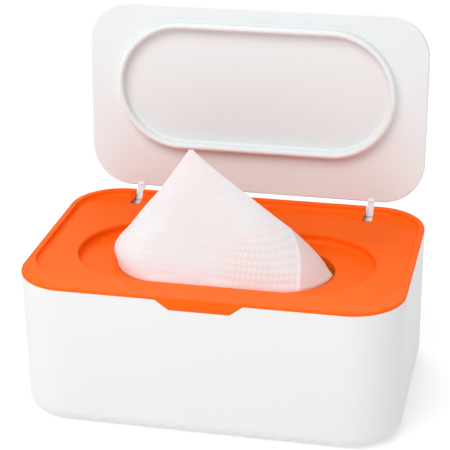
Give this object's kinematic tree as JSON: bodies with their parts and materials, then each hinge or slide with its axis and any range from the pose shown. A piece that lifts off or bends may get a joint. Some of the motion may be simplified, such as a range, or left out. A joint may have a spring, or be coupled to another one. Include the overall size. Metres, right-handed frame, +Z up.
{
  "type": "wipe dispenser",
  "caption": "Refillable wet wipe dispenser: rounded tub, lift-off dispensing frame with a long oval mouth, hinged lid with a sealing ridge, and a wipe standing ready.",
  "frame": {"origin": "middle of the plane that the tub stands on, centred on the closed box", "axes": "+X along the box, to the right seen from the front; +Y towards the hinges; +Z up"},
  "size_m": [0.19, 0.142, 0.1759],
  "materials": {
    "tub": "satin moulded",
    "dispensing_frame": "satin moulded",
    "lid": "satin moulded",
    "lid_seal": "soft silicone",
    "hinge_pins": "moulded acetal",
    "grip_pads": "matt",
    "wipes": "embossed nonwoven"
  },
  "bodies": {
    "tub": {"tub": "tub", "pad_front_left": "grip_pads", "pad_front_right": "grip_pads", "pad_rear_left": "grip_pads", "pad_rear_right": "grip_pads", "hinge_pin_left": "hinge_pins", "hinge_pin_right": "hinge_pins", "wipe_stack": "wipes"},
    "frame": {"dispensing_frame": "dispensing_frame"},
    "lid": {"lid": "lid", "lid_seal": "lid_seal"},
    "wipe": {"pulled_wipe": "wipes"}
  },
  "joints": [
    {"name": "lid_hinge", "type": "hinge", "parent": "tub", "child": "lid", "pos_m": [0, 0.0614, 0.0665], "axis": [1, 0, 0], "range_deg": [0, 94.3], "deforming": ["pulled_wipe"]},
    {"name": "frame_lift", "type": "slide", "parent": "tub", "child": "frame", "axis": [0, -0.075, 0.9972], "range_m": [0, 0.125]},
    {"name": "wipe_pull", "type": "slide", "parent": "frame", "child": "wipe", "axis": [0, 0, 1], "range_m": [0, 0.08]}
  ]
}
